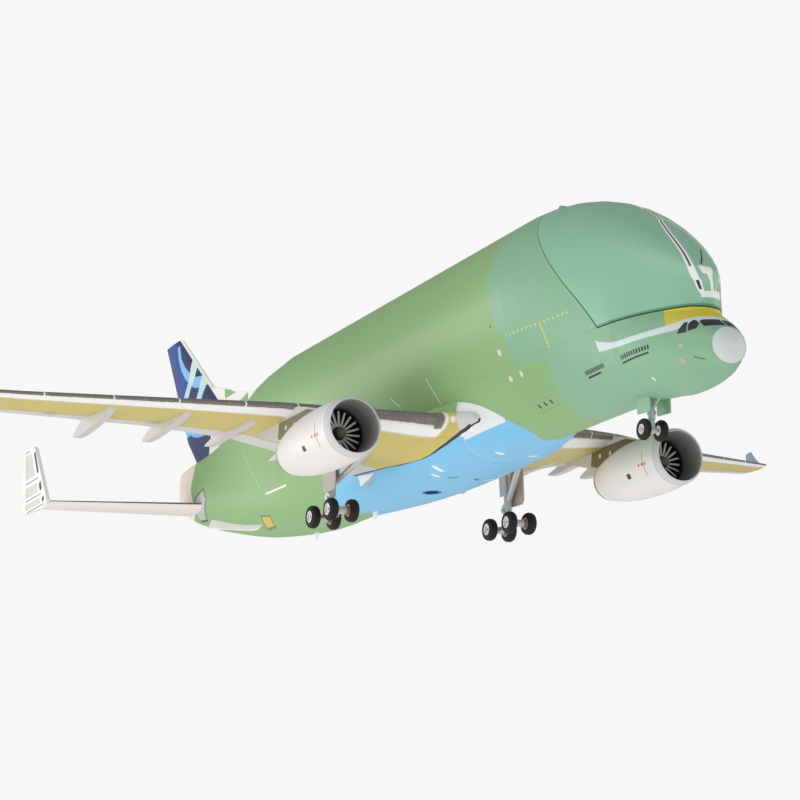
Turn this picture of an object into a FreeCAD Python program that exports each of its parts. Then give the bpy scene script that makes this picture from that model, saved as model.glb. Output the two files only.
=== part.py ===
import FreeCAD, Part
import math
import os

V = FreeCAD.Vector

# Desktop model of a whale-shaped outsize-cargo twin jet, in millimetres.
# +X is forward, +Y is to port, +Z is up. The wheels stand on Z = 0, and the origin is under the
# middle of the overall length and span.

# ---- overall size -------------------------------------------------------------------------
SCALE = 200.0
LENGTH = 63100.0 / SCALE
SPAN = 60300.0 / SCALE
HEIGHT = 18900.0 / SCALE
NOSE_X = LENGTH / 2
TAIL_X = -LENGTH / 2

# ---- fuselage -----------------------------------------------------------------------------
WALL = 1.5
BARREL_R = 22.0          # upper lobe, the cargo barrel
BARREL_Z = 41.5
BARREL_FRONT_X = 95.6    # where the barrel starts to round off into the dome
DOME_FRONT_X = 150.8     # the forehead above the cockpit
DOME_TIP_Z = 32.6
DOME_DROP = 13.1         # how far the dome reaches below its tip
DOME_MIN_U = 0.999
HULL_POINTS = 44
HULL_SAMPLES = 180
CAVITY_REAR_X = -118.0
CAVITY_FRONT_X = 146.0

# stations along X: (x, size) of the upper lobe behind the dome
BARREL_WIDTH = [(-145, 1.0), (-143.8, 2.2), (-136, 4.0), (-106, 7.6), (-71, 12.8), (-36, BARREL_R)]
BARREL_HEIGHT = [(-145, 3.4), (-143.8, 5.0), (-136, 6.0), (-106, 10.3), (-71, 19.2), (-36, BARREL_R)]
BARREL_CENTRE = [(-145, 45.2), (-143.8, 44.6), (-136, 44.0), (-106, 41.6), (-71, 44.2), (-36, BARREL_Z)]
# and of the lower lobe, from the tail cone to the radome
KEEL_WIDTH = [(-145, 1.0), (-143.8, 2.2), (-136, 5.0), (-106, 10.9), (-71, 13.8), (-36, 14.0), (119, 13.9),
              (134, 12.8), (146, 9.8), (152.5, 6.5), (155.5, 4.3), (157, 2.4), (NOSE_X, 0.3)]
KEEL_HEIGHT = [(-145, 2.4), (-143.8, 4.2), (-136, 7.6), (-106, 11.1), (-71, 13.1), (-36, 14.0), (119, 13.7),
               (134, 12.5), (146, 8.8), (152.5, 5.4), (155.5, 4.0), (157, 2.3), (NOSE_X, 0.3)]
KEEL_CENTRE = [(-145, 42.2), (-143.8, 41.6), (-136, 39.6), (-106, 33.6), (-71, 27.7), (-36, 24.9), (69, 24.4),
               (119, 23.7), (134, 20.4), (146, 16.8), (152.5, 15.6), (155.5, 14.5), (NOSE_X, 14.3)]
TAIL_STATIONS = [-145, -144.6, -143.8, -142, -139, -136, -129, -121, -113, -106, -97, -88, -79, -71, -62, -53, -44]
BODY_STATIONS = [-36, 30, 69, BARREL_FRONT_X]
DOME_STATIONS = [101, 107, 113, 119, 124, 129, 134, 138, 141, 143.5, 145.5, 147.2, 148.6, 149.6, 150.3, 150.7]
NOSE_STATIONS = [124, 128, 132, 136, 140, 144, 147, 149, 150.8, 152.5, 154, 155.5, 156.3, 157, 157.5, NOSE_X]
NECK_REAR_X = 128.0      # from here the skin under the dome draws in, and the nose stands out below
NECK_FRONT_X = 149.4
NOSE_ROOT_INSET = 0.6    # the nose starts this far inside the skin

# ---- split between the castings, and the cargo door ---------------------------------------
DECK_Z = 24.9            # top of the lower casting and of the cargo floor
LOWER_REAR_X = -62.0     # behind this one casting makes the whole tail
DOOR_GAP = 0.3
HINGE_X = 98.3
HINGE_Z = 62.6
DOOR_CORNER_X = 124.7    # where the door's rear edge meets its lower edge
DOOR_MID_X = 114.9
DOOR_MID_Z = 40.2
HINGE_CLEAR_R = 1.35
KNUCKLE_R = 1.1
HINGE_PIN_R = 0.45
RUN_FIT = 0.05           # radial clearance of everything that turns
FLOOR_THICK = 0.9

# ---- belly fairing and stand socket -------------------------------------------------------
BELLY_CENTRE_Z = 18.9
BELLY_POWER = 2.6
BELLY_WIDTH = [(-30, 8.0), (-23, 10.5), (-8, 14.0), (7, 16.0), (25, 16.9), (50, 16.5), (60, 15.9),
               (66, 14.4), (75, 11.8), (83, 8.0)]
BELLY_DEPTH = [(-30, 7.0), (-23, 7.6), (-8, 8.5), (7, 9.3), (25, 9.6), (50, 9.4), (66, 9.1), (75, 8.7),
               (83, 7.8)]
BELLY_STATIONS = [-30, -23, -15, -8, 0, 7, 16, 25, 37, 50, 60, 66, 71, 75, 79, 83]
SOCKET_X = 19.7
SOCKET_R = 1.9
SOCKET_WALL = 0.8
SOCKET_DEPTH = 9.0
SOCKET_MOUTH_Z = 9.4
ANTENNA_X = [-12.5, -49.0]

# ---- wings --------------------------------------------------------------------------------
# (y, leading edge x, leading edge z, chord, drop of the trailing edge, height above, depth below)
WING_STATIONS = [
    (10.0, 71.0, 16.8, 65.0, 1.6, 3.9, 4.2),
    (15.0, 69.0, 17.0, 63.0, 1.4, 3.9, 3.9),
    (18.5, 57.0, 19.6, 51.5, 2.4, 3.0, 3.9),
    (50.0, 35.2, 25.0, 34.1, 0.6, 2.2, 1.9),
    (70.0, 21.6, 27.6, 29.4, -0.5, 1.8, 1.5),
    (105.0, -1.6, 32.2, 21.5, -0.2, 1.35, 1.1),
    (146.2, -28.8, 38.5, 12.3, 0.2, 0.8, 0.65),
    (148.4, -34.5, 39.8, 7.2, 0.1, 0.7, 0.55),
    (149.8, -39.0, 42.8, 5.0, 0.0, 0.6, 0.5),
    (SPAN / 2, -42.0, 45.5, 3.4, 0.0, 0.5, 0.4),
]
# (y, hang below the trailing edge, how far its nose is ahead of the trailing edge)
FLAP_FAIRINGS = [(36.0, 1.7, 24.0), (53.0, 2.1, 27.0), (68.0, 3.3, 27.0), (84.5, 4.0, 22.5)]
FAIRING_HALF = 1.1
FAIRING_TAIL = 5.6       # how far the tail stands behind the trailing edge

# ---- engines ------------------------------------------------------------------------------
ENGINE_Y = 46.85
ENGINE_Z = 12.7
INLET_X = 67.5
NOZZLE_X = 33.5
LIP_R = 6.7
NACELLE_R = 7.85
NOZZLE_R = 5.0
DUCT_R = 5.9
FAN_X = 58.3
FAN_R = 5.65
FAN_BLADES = 20
FAN_HUB_R = 1.6
FAN_PITCH = 52.0
BLADE_HALF = 0.42
SHAFT_R = 0.5
PYLON_HALF = 1.1

# ---- tail ---------------------------------------------------------------------------------
FIN_ROOT_Z = 48.0
FIN_TOP_LE_X = -144.2
FIN_SWEEP = 1.107        # leading edge runs this far aft for each mm up
FIN_RAKE = 0.468         # and the trailing edge this far
FIN_THICKNESS = 0.09
DORSAL_OUTLINE = [(-119.3, 72.2), (-110.4, 69.4), (-102, 66.9), (-92, 64.0), (-84, 63.6), (-80, 50),
                  (-120, 50)]
HEEL_OUTLINE = [(-144.6, 62.6), (-133.9, 51), (-133.9, 40), (-170, 40), (-170, 62.6)]   # cut away
TAILPLANE_STATIONS = [
    (2.0, -101.5, 30.2, 25.0, -1.3, 1.2, 1.3),
    (49.0, -136.5, 35.3, 12.5, 0.0, 0.6, 0.7),
]
TIP_FIN_Y = 49.0
TIP_FIN_THICK = 1.2

# ---- landing gear -------------------------------------------------------------------------
MAIN_X = 13.9
MAIN_Y = 26.7
MAIN_WHEEL_R = 3.0
MAIN_TYRE_WIDTH = 2.4
MAIN_WHEEL_Y = 3.0       # from the bogie's middle
BOGIE_HALF_BASE = 5.25
NOSE_GEAR_X = 123.9
NOSE_WHEEL_R = 2.5
NOSE_TYRE_WIDTH = 1.7
NOSE_WHEEL_Y = 2.3
AXLE_R = 0.35

FAR = 400.0


# ---- small tools --------------------------------------------------------------------------
def through(x, knots):
    """Value at x of a monotone curve through (x, value) knots, constant past both ends."""
    if x <= knots[0][0]:
        return float(knots[0][1])
    if x >= knots[-1][0]:
        return float(knots[-1][1])
    steps = [b[0] - a[0] for a, b in zip(knots, knots[1:])]
    rises = [(b[1] - a[1]) / s for a, b, s in zip(knots, knots[1:], steps)]
    slopes = [rises[0]]
    for before, after in zip(rises, rises[1:]):
        same_way = before * after > 0
        slopes.append(2 * before * after / (before + after) if same_way else 0.0)
    slopes.append(rises[-1])
    i = max(k for k in range(len(steps)) if knots[k][0] <= x)
    s = steps[i]
    t = (x - knots[i][0]) / s
    low, high = knots[i][1], knots[i + 1][1]
    return (low * (1 + 2 * t) * (1 - t) ** 2 + slopes[i] * s * t * (1 - t) ** 2
            + high * t * t * (3 - 2 * t) + slopes[i + 1] * s * t * t * (t - 1))


def box(x0, x1, y0, y1, z0, z1):
    return Part.makeBox(x1 - x0, y1 - y0, z1 - z0, V(x0, y0, z0))


def rod(start, end, radius):
    way = end - start
    return Part.makeCylinder(radius, way.Length, start, way)


def cross_rod(x, z, y0, y1, radius):
    return rod(V(x, y0, z), V(x, y1, z), radius)


def plate_xz(points, y0, y1):
    """A flat plate whose outline is given in the XZ plane."""
    wire = Part.makePolygon([V(x, y0, z) for x, z in points + points[:1]])
    return Part.Face(wire).extrude(V(0, y1 - y0, 0))


def spline(points):
    curve = Part.BSplineCurve()
    curve.interpolate(points)
    return curve.toShape()


def fuse(shapes):
    whole = shapes[0]
    for shape in shapes[1:]:
        whole = whole.fuse(shape)
    return whole.removeSplitter()


def cut(shape, *tools):
    for tool in tools:
        shape = shape.cut(tool)
    return shape


def biggest(shape):
    return max(shape.Solids, key=lambda s: s.Volume)


def save(name, shape):
    solids = [s for s in shape.Solids if s.Volume > 1e-3]
    whole = solids[0] if len(solids) == 1 else Part.makeCompound(solids)
    whole.exportStep("parts/" + name + ".step")
    print(name, len(solids), round(sum(s.Volume for s in solids), 2), whole.isValid())


def sides():
    return [("left", 1), ("right", -1)]


# ---- fuselage surfaces --------------------------------------------------------------------
def barrel_lobe(x):
    """Half width, half height and centre of the upper lobe at x."""
    if x <= BARREL_FRONT_X:
        return through(x, BARREL_WIDTH), through(x, BARREL_HEIGHT), through(x, BARREL_CENTRE)
    u = min((x - BARREL_FRONT_X) / (DOME_FRONT_X - BARREL_FRONT_X), DOME_MIN_U)
    width = BARREL_R * (1 - u ** 1.2) ** 0.6
    crown = BARREL_Z + BARREL_R
    top = DOME_TIP_Z + (crown - DOME_TIP_Z) * (1 - u * u) ** 0.9
    low = DOME_TIP_Z - DOME_DROP * (1 - u ** 2.4) ** 0.4
    low += (BARREL_Z - BARREL_R - DOME_TIP_Z + DOME_DROP) * (1 - u)
    return width, (top - low) / 2, (top + low) / 2


def keel_lobe(x):
    return through(x, KEEL_WIDTH), through(x, KEEL_HEIGHT), through(x, KEEL_CENTRE)


def support(lobe, angle):
    """The lobe's furthest point in a direction, and how far it is."""
    width, height, centre = lobe
    sy, sz = math.sin(angle), math.cos(angle)
    reach = math.hypot(width * sy, height * sz)
    point = (width * width * sy / reach, centre + height * height * sz / reach)
    return point, reach + centre * sz


def neck_lobe(x):
    """The lower lobe as far as the dome's skin still wraps it: it shrinks up into the dome."""
    width, height, centre = keel_lobe(x)
    if x <= NECK_REAR_X:
        return width, height, centre
    u = min((x - NECK_REAR_X) / (NECK_FRONT_X - NECK_REAR_X), 1.0)
    left = math.sqrt(1 - u * u)
    return width * left, height * left, centre + (barrel_lobe(x)[2] - centre) * (1 - left)


def outline_round(x, lobes, inset):
    """Points around the taut skin over some lobes, evenly spaced, from the keel round."""
    lobes = [(max(w - inset, 0.2), max(h - inset, 0.2), c) for w, h, c in lobes]
    ring = []
    for k in range(HULL_SAMPLES + 1):
        angle = math.pi + 2 * math.pi * k / HULL_SAMPLES
        ring.append(max((support(lobe, angle) for lobe in lobes), key=lambda s: s[1])[0])
    walked = [0.0]
    for a, b in zip(ring, ring[1:]):
        walked.append(walked[-1] + math.dist(a, b))
    outline = []
    k = 0
    for n in range(HULL_POINTS):
        goal = walked[-1] * n / HULL_POINTS
        while walked[k + 1] < goal:
            k += 1
        part = (goal - walked[k]) / max(walked[k + 1] - walked[k], 1e-9)
        a, b = ring[k], ring[k + 1]
        outline.append(V(x, a[0] + (b[0] - a[0]) * part, a[1] + (b[1] - a[1]) * part))
    return outline


def ring_wire(points):
    curve = Part.BSplineCurve()
    curve.interpolate(Points=points, PeriodicFlag=True)
    return Part.Wire([curve.toShape()])


def skin(stations, inset=0.0):
    wires = [ring_wire(outline_round(x, [barrel_lobe(x), neck_lobe(x)], inset)) for x in stations]
    return Part.makeLoft(wires, True, True)


def nose_solid():
    wires = []
    for x in NOSE_STATIONS:
        inset = NOSE_ROOT_INSET * max(0.0, 1 - (x - NOSE_STATIONS[0]) / (NOSE_STATIONS[3] - NOSE_STATIONS[0]))
        wires.append(ring_wire(outline_round(x, [keel_lobe(x)], inset)))
    return Part.makeLoft(wires, True, True)


def fuselage_solid():
    return skin(TAIL_STATIONS + BODY_STATIONS + DOME_STATIONS).fuse(nose_solid())


def cavity_solid():
    inside = [x for x in TAIL_STATIONS + BODY_STATIONS + DOME_STATIONS
              if CAVITY_REAR_X < x < CAVITY_FRONT_X]
    return skin([CAVITY_REAR_X] + inside + [CAVITY_FRONT_X], WALL)


def door_zone(shift, low):
    """Everything ahead of the door's rear edge and above its lower edge."""
    top = V(HINGE_X + shift, -FAR, HINGE_Z)
    mid = V(DOOR_MID_X + shift, -FAR, DOOR_MID_Z)
    corner = V(DOOR_CORNER_X + shift, -FAR, low)
    ends = [corner, V(FAR, -FAR, low), V(FAR, -FAR, FAR), V(HINGE_X + shift, -FAR, FAR), top]
    edges = [Part.Arc(top, mid, corner).toShape()]
    edges += [Part.LineSegment(a, b).toShape() for a, b in zip(ends, ends[1:])]
    return Part.Face(Part.Wire(edges)).extrude(V(0, 2 * FAR, 0))


# ---- fuselage parts -----------------------------------------------------------------------
def fuselage_parts(outer, cavity):
    shell = outer.cut(cavity)
    hinge_room = cross_rod(HINGE_X, HINGE_Z, -7, 7, HINGE_CLEAR_R)
    lug_room = box(HINGE_X - 0.3, HINGE_X + 8, -5.8, 5.8, HINGE_Z - 2.6, HINGE_Z)
    tail_end = box(-FAR, LOWER_REAR_X, -FAR, FAR, -FAR, FAR)
    below_deck = box(LOWER_REAR_X, FAR, -FAR, FAR, -FAR, DECK_Z)
    door = shell.common(door_zone(DOOR_GAP / 2, DECK_Z + DOOR_GAP)).cut(hinge_room)
    upper = cut(shell, door_zone(-DOOR_GAP / 2, DECK_Z), below_deck, hinge_room, lug_room, tail_end)
    tail = shell.common(tail_end)
    lower = shell.common(below_deck)
    floor = cavity.common(box(LOWER_REAR_X, FAR, -FAR, FAR, DECK_Z - FLOOR_THICK, DECK_Z))
    return [biggest(part) for part in (door, upper, lower, tail, floor)]


def hinge_parts(door, upper):
    arm_low, arm_high, arm_reach = HINGE_Z - 2.2, HINGE_Z - 0.3, 8.0
    middle, outside = 2.4, 5.4
    bracket = fuse([
        cross_rod(HINGE_X, HINGE_Z, -middle, middle, KNUCKLE_R),
        box(HINGE_X - arm_reach, HINGE_X, -middle, middle, arm_low, arm_high)])
    bracket = bracket.cut(cross_rod(HINGE_X, HINGE_Z, -FAR, FAR, HINGE_PIN_R))
    lugs = []
    for y0, y1 in [(middle + 0.2, outside), (-outside, -middle - 0.2)]:
        lug = fuse([cross_rod(HINGE_X, HINGE_Z, y0, y1, KNUCKLE_R),
                    box(HINGE_X, HINGE_X + arm_reach, y0, y1, arm_low, arm_high)])
        lug = cut(lug, cross_rod(HINGE_X, HINGE_Z, -FAR, FAR, HINGE_PIN_R + RUN_FIT), door)
        lugs.append(biggest(lug))
    pin = cross_rod(HINGE_X, HINGE_Z, -outside - 0.2, outside + 0.2, HINGE_PIN_R)
    return biggest(bracket.cut(upper)), Part.makeCompound(lugs), pin


def belly_ring(x):
    width, depth = through(x, BELLY_WIDTH), through(x, BELLY_DEPTH)
    points = []
    for k in range(HULL_POINTS):
        angle = 2 * math.pi * k / HULL_POINTS
        sy, sz = math.sin(angle), -math.cos(angle)
        y = math.copysign(abs(sy) ** (2 / BELLY_POWER), sy) * width
        z = math.copysign(abs(sz) ** (2 / BELLY_POWER), sz) * depth
        points.append(V(x, y, BELLY_CENTRE_Z + z))
    return ring_wire(points)


def belly_solid():
    return Part.makeLoft([belly_ring(x) for x in BELLY_STATIONS], True, True)


def stand_socket():
    start = V(SOCKET_X, 0, SOCKET_MOUTH_Z)
    up = V(0, 0, 1)
    outside = SOCKET_R + SOCKET_WALL
    tube = Part.makeCylinder(outside, SOCKET_DEPTH + SOCKET_WALL, start, up)
    room = tube.fuse(Part.makeCylinder(outside, 1, start, -up))
    return room, tube.cut(Part.makeCylinder(SOCKET_R, SOCKET_DEPTH, start, up))


# ---- lifting surfaces ---------------------------------------------------------------------
def aerofoil(chord, above, below):
    """Points of a blunt-tailed aerofoil, from the upper tail round the nose to the lower."""
    steps = 12
    upper, lower = [], []
    for k in range(steps + 1):
        s = (1 - math.cos(math.pi * k / steps)) / 2
        fullness = 10 * (0.2969 * math.sqrt(s) - 0.126 * s - 0.3516 * s ** 2
                         + 0.2843 * s ** 3 - 0.0936 * s ** 4)
        upper.append((s * chord, above * fullness))
        lower.append((s * chord, -below * fullness))
    return upper[::-1] + lower[1:]


def wing_wire(station, side):
    y, le_x, le_z, chord, drop, above, below = station
    points = []
    for back, up in aerofoil(chord, above, below):
        points.append(V(le_x - back, side * y, le_z + up - drop * back / chord))
    return Part.Wire([spline(points), Part.LineSegment(points[-1], points[0]).toShape()])


def surface(stations, side):
    return Part.makeLoft([wing_wire(s, side) for s in stations], True, True)


def trailing_edge(y):
    """Trailing edge x and z of the wing at y."""
    for a, b in zip(WING_STATIONS, WING_STATIONS[1:]):
        if y <= b[0]:
            part = (y - a[0]) / (b[0] - a[0])
            ends = [(s[1] - s[3], s[2] - s[4]) for s in (a, b)]
            return tuple(p + (q - p) * part for p, q in zip(*ends))


def flap_fairing(y, drop, ahead, side):
    """A deep narrow fairing under the flaps: a curved keel and a raked tail behind the wing."""
    x, z = trailing_edge(y)
    low = z - drop
    nose = V(x + ahead, side * y - FAIRING_HALF, z - 0.8)
    tail = V(x - FAIRING_TAIL, side * y - FAIRING_HALF, low + 0.4)
    keel = [nose, V(x + 0.65 * ahead, nose.y, (nose.z + low) / 2 - 0.6), V(x + 0.3 * ahead, nose.y, low + 0.2),
            V(x - 1, nose.y, low - 0.1), tail]
    top = [tail, V(x - 4.9, nose.y, low + 0.35 * drop), V(x + 1, nose.y, z - 0.1),
           V(x + 3, nose.y, z + 1.3), V(nose.x - 2.5, nose.y, z + 1.6), nose]
    edges = [spline(keel)] + [Part.LineSegment(a, b).toShape() for a, b in zip(top, top[1:])]
    return Part.Face(Part.Wire(edges)).extrude(V(0, 2 * FAIRING_HALF, 0))


# ---- engines ------------------------------------------------------------------------------
def spin_solid(edges, side):
    whole = Part.Face(Part.Wire(edges)).revolve(V(0, 0, 0), V(1, 0, 0), 360)
    whole.translate(V(0, side * ENGINE_Y, ENGINE_Z))
    return whole


def nacelle(side, filled=False):
    outer = [V(INLET_X, 0, LIP_R), V(INLET_X - 0.5, 0, LIP_R + 0.4), V(INLET_X - 3, 0, 7.5),
             V(INLET_X - 8, 0, NACELLE_R), V(INLET_X - 12, 0, NACELLE_R),
             V(INLET_X - 20, 0, 7.6), V(INLET_X - 28, 0, 6.5), V(NOZZLE_X, 0, NOZZLE_R)]
    if filled:
        front, rear = V(INLET_X, 0, 0), V(NOZZLE_X, 0, 0)
        edges = [spline(outer), Part.LineSegment(outer[-1], rear).toShape(),
                 Part.LineSegment(rear, front).toShape(), Part.LineSegment(front, outer[0]).toShape()]
        return spin_solid(edges, side)
    inner = [V(NOZZLE_X, 0, NOZZLE_R - 0.35), V(NOZZLE_X + 7, 0, 5.25), V(FAN_X - 5, 0, DUCT_R),
             V(FAN_X, 0, DUCT_R), V(INLET_X - 5, 0, 6.1), V(INLET_X - 1, 0, 6.45), V(INLET_X, 0, LIP_R)]
    edges = [spline(outer), Part.LineSegment(outer[-1], inner[0]).toShape(), spline(inner)]
    return spin_solid(edges, side)


def profile_edges(points):
    corners = [V(x, 0, r) for x, r in points]
    return [Part.LineSegment(a, b).toShape() for a, b in zip(corners, corners[1:] + corners[:1])]


def engine_core(side, cowl):
    """The fixed core behind the fan: shaft, core casing, exhaust plug and stay vanes."""
    rear_face = FAN_X - 1.2
    casing = spin_solid(profile_edges([
        (rear_face + 1.5, 0), (rear_face + 1.5, SHAFT_R), (rear_face, SHAFT_R),
        (rear_face, 2.4), (46, 2.9), (40, 2.6), (NOZZLE_X, 1.2), (NOZZLE_X - 2.5, 0.2),
        (NOZZLE_X - 2.5, 0)]), side)
    vanes = []
    for k in range(6):
        vane = box(47, 52, -0.2, 0.2, 1.5, 6.5)
        vane.rotate(V(0, 0, 0), V(1, 0, 0), 60 * k)
        vane.translate(V(0, side * ENGINE_Y, ENGINE_Z))
        vanes.append(vane)
    return biggest(fuse([casing] + vanes).cut(cowl))


def fan(side):
    back, front = FAN_X - 0.9, FAN_X + 0.9
    hub = spin_solid(profile_edges([(back, 0), (back, FAN_HUB_R), (front, FAN_HUB_R),
                                    (front + 1.3, 1.1), (front + 2.3, 0.4), (front + 2.6, 0)]), side)
    blades = []
    for k in range(FAN_BLADES):
        blade = box(-BLADE_HALF, BLADE_HALF, -0.12, 0.12, FAN_HUB_R - 0.3, FAN_R)
        blade.rotate(V(0, 0, 0), V(0, 0, 1), FAN_PITCH)
        blade.rotate(V(0, 0, 0), V(1, 0, 0), 360.0 * k / FAN_BLADES)
        blade.translate(V(FAN_X, side * ENGINE_Y, ENGINE_Z))
        blades.append(blade)
    bore = rod(V(back - 1, side * ENGINE_Y, ENGINE_Z), V(back + 1.4, side * ENGINE_Y, ENGINE_Z),
               SHAFT_R + RUN_FIT)
    return hub.multiFuse(blades).removeSplitter().cut(bore)


def pylon(side, wing, cowl):
    outline = [(62, 19.2), (51, 20.3), (43, 23.0), (38, 24.2), (20, 25.1), (10, 24.7), (13.5, 21.9),
               (24, 18.6), (32, 16.5), (60, 14)]
    y = side * ENGINE_Y
    return biggest(cut(plate_xz(outline, y - PYLON_HALF, y + PYLON_HALF), wing, cowl))


# ---- tail ---------------------------------------------------------------------------------
def fin_wire(z):
    le_x = FIN_TOP_LE_X + FIN_SWEEP * (HEIGHT - z)
    te_x = TAIL_X + FIN_RAKE * (HEIGHT - z)
    chord = le_x - te_x
    half = FIN_THICKNESS * chord / 2
    points = [V(le_x - back, across, z) for back, across in aerofoil(chord, half, half)]
    return Part.Wire([spline(points), Part.LineSegment(points[-1], points[0]).toShape()])


def tail_fin(outer):
    blade = Part.makeLoft([fin_wire(FIN_ROOT_Z), fin_wire(HEIGHT)], True, True)
    fillet = plate_xz(DORSAL_OUTLINE, -0.8, 0.8)
    heel = plate_xz(HEEL_OUTLINE, -FAR, FAR)
    return biggest(cut(fuse([blade, fillet]), heel, outer))


def tip_fin(side):
    outline = [(-136.6, 35.9), (-147.0, 54.6), (-149.0, 55.4), (TAIL_X, 55.4), (TAIL_X, 34.9),
               (-140.5, 34.0), (-137.4, 34.4)]
    y = side * TIP_FIN_Y
    return plate_xz(outline, min(y, y + side * TIP_FIN_THICK), max(y, y + side * TIP_FIN_THICK))


def strake(side, outer):
    plate = plate_xz([(-66, 3), (-69, -2.6), (-73, -3.2), (-104, -3.2), (-107, 3)], -0.3, 0.3)
    plate.rotate(V(-66, 0, 0), V(1, 0, 0), side * 35)
    plate.translate(V(0, side * 8.0, 17.5))
    plate.rotate(V(-66, side * 8.0, 17.5), V(0, 1, 0), 12)
    return biggest(plate.cut(outer))


def belly_antenna(x, height, outer):
    """A swept blade under the rear fuselage."""
    _, half_height, centre = keel_lobe(x)
    low = centre - half_height - height
    blade = plate_xz([(x, low), (x + 2.2, low + height + 2), (x - 1.8, low + height + 2), (x - 1.2, low)],
                     -0.2, 0.2)
    return biggest(blade.cut(outer))


# ---- landing gear -------------------------------------------------------------------------
def tyre(x, y, z, radius, width, rim):
    half, crown = width / 2, radius * 0.2
    profile = [(-half, rim), (-half, radius - crown * 1.6), (-half + crown * 0.5, radius - crown * 0.4),
               (-half * 0.35, radius), (half * 0.35, radius), (half - crown * 0.5, radius - crown * 0.4),
               (half, radius - crown * 1.6), (half, rim)]
    wire = Part.makePolygon([V(r, w, 0) for w, r in profile + profile[:1]])
    ring = Part.Face(wire).revolve(V(0, 0, 0), V(0, 1, 0), 360)
    ring.translate(V(x, y, z))
    return ring


def wheel_pair(x, y, z, radius, width, offset, rim):
    """The two tyres, two hubs and the axle of one wheelset."""
    tyres, hubs = [], []
    reach = offset + width / 2 - 0.15
    axle = cross_rod(x, z, y - reach, y + reach, AXLE_R)
    for side in (1, -1):
        middle = y + side * offset
        tyres.append(tyre(x, middle, z, radius, width, rim))
        hub = cross_rod(x, z, middle - width / 2 + 0.1, middle + width / 2 - 0.1, rim)
        dish = cross_rod(x, z, middle + side * (width / 2 - 0.4), middle + side * width, rim * 0.72)
        hubs.append(cut(hub, dish, axle))
    return Part.makeCompound(tyres), Part.makeCompound(hubs), axle


def bogie_beam(side):
    x, y, z = MAIN_X, side * MAIN_Y, MAIN_WHEEL_R
    beam = rod(V(x - BOGIE_HALF_BASE, y, z), V(x + BOGIE_HALF_BASE, y, z), 0.85)
    tubes = [cross_rod(x + dx, z, y - 1.2, y + 1.2, 0.95) for dx in (-BOGIE_HALF_BASE, BOGIE_HALF_BASE)]
    beam = fuse([beam] + tubes)
    bores = [cross_rod(x + dx, z, y - 3, y + 3, AXLE_R + RUN_FIT)
             for dx in (-BOGIE_HALF_BASE, 0, BOGIE_HALF_BASE)]
    return cut(beam, *bores)


def brake_discs(side):
    discs = []
    for dx in (-BOGIE_HALF_BASE, BOGIE_HALF_BASE):
        for y0 in (side * MAIN_Y + 1.25, side * MAIN_Y - 1.8):
            x = MAIN_X + dx
            disc = cross_rod(x, MAIN_WHEEL_R, y0, y0 + 0.55, 1.35)
            discs.append(disc.cut(cross_rod(x, MAIN_WHEEL_R, y0 - 1, y0 + 2, AXLE_R + RUN_FIT)))
    return Part.makeCompound(discs)


def main_strut(side, wing):
    x, y, z = MAIN_X, side * MAIN_Y, MAIN_WHEEL_R
    leg = rod(V(x, y, z + 4.6), V(x, y, 24), 1.1)
    piston = rod(V(x, y, z + 1.6), V(x, y, z + 5), 0.8)
    collar = rod(V(x, y, z + 8.6), V(x, y, z + 9.6), 1.35)
    head = rod(V(x, y, z + 9), V(x + 0.9, y, z + 15), 1.3)
    inner = sorted((y - side * 1.15, y - side * 1.6))
    plate = box(x - 1.6, x + 1.8, inner[0], inner[1], z + 8.4, 24)
    yoke = box(x - 0.8, x + 0.8, y - 1.6, y + 1.6, z + 1.5, z + 2.3)
    lugs = [box(x - 0.8, x + 0.8, y + s * 1.3 - 0.3, y + s * 1.3 + 0.3, z - 0.8, z + 2) for s in (1, -1)]
    pin = cross_rod(x, z, y - 1.9, y + 1.9, AXLE_R)
    return biggest(fuse([leg, head, plate, piston, collar, yoke, pin] + lugs).cut(wing))


def torque_link(side, strut):
    y = side * MAIN_Y
    x, low, high = MAIN_X - 0.6, MAIN_WHEEL_R + 2.4, MAIN_WHEEL_R + 7.6
    elbow = (x - 2.4, (low + high) / 2)
    link = plate_xz([(x, low), (x, low + 0.8), (elbow[0] + 0.7, elbow[1]), (x, high - 0.8), (x, high),
                     (elbow[0] - 0.3, elbow[1] + 0.35), (elbow[0] - 0.3, elbow[1] - 0.35)],
                    y - 0.4, y + 0.4)
    return biggest(link.cut(strut))


def side_brace(side, strut, wing, body):
    """The drag stay that runs forward and up from the strut into the wheel bay."""
    start = V(MAIN_X + 0.8, side * MAIN_Y, 10.6)
    end = V(30.5, side * 21.5, 18.5)
    return biggest(cut(rod(start, end, 0.8), strut, wing, body))


def bay_door(side, belly):
    """The small triangular door that hangs at the body side of a main gear bay."""
    outline = [(6.5, 17.5), (17.5, 15.5), (16.6, 14.0), (9.6, 12.2), (8.6, 12.4)]
    inner, outer = sorted((side * 14.4, side * 15.5))
    return biggest(plate_xz(outline, inner, outer).cut(belly))


def main_door(side, strut, wing):
    y = side * (MAIN_Y + 1.6)
    x = MAIN_X
    panel = plate_xz([(x - 1.4, 9.2), (x - 0.8, 8.6), (x + 4.6, 8.4), (x + 5.6, 9.4), (x + 6.0, 27),
                      (x - 1.4, 27)], y - 0.2, y + 0.2)
    stay = rod(V(x, side * MAIN_Y, 14.5), V(x, y, 14.5), 0.4)
    return biggest(cut(fuse([panel, stay]), strut, wing))


def nose_leg(outer):
    x = NOSE_GEAR_X
    leg = fuse([rod(V(x, 0, 5.0), V(x, 0, 14), 0.85), rod(V(x, 0, 6.2), V(x, 0, 6.9), 1.1)])
    bore = rod(V(x, 0, 4), V(x, 0, 8.6), 0.5)
    return biggest(leg.cut(outer).cut(bore))


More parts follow.
